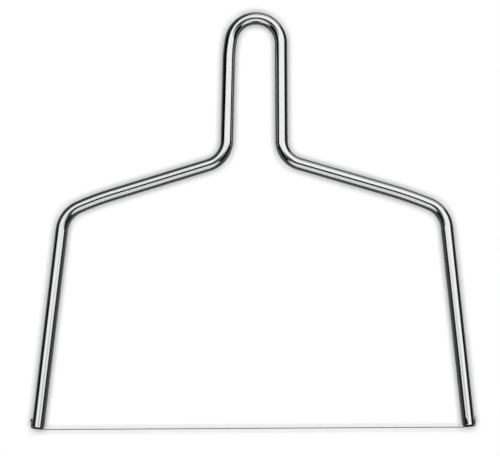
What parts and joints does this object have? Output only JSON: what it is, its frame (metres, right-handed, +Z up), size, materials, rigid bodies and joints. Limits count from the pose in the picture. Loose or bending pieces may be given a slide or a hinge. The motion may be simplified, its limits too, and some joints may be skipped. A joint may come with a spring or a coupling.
{
  "type": "clay cutting bow",
  "caption": "Bent bright-plated steel rod bow with a U-shaped loop handle and a taut cutting wire between its leg tips.",
  "frame": {"origin": "centre of the bow's box, on the surface that the bow lies flat on", "axes": "+X across the span from the left leg to the right leg, +Y from the cutting wire towards the handle loop, +Z up through the rod"},
  "size_m": [0.2302, 0.215, 0.0063],
  "materials": {
    "plated_rod": "bright nickel-chrome plate over cold-bent steel rod, fine lengthwise draw lines",
    "steel_wire": "hard-drawn steel wire, satin",
    "swaged_bead": "swaged steel bead, dull with press marks"
  },
  "bodies": {
    "root": {"bow_frame": "plated_rod", "cutting_wire": "steel_wire", "wire_bead_left": "swaged_bead", "wire_bead_right": "swaged_bead"}
  },
  "joints": []
}
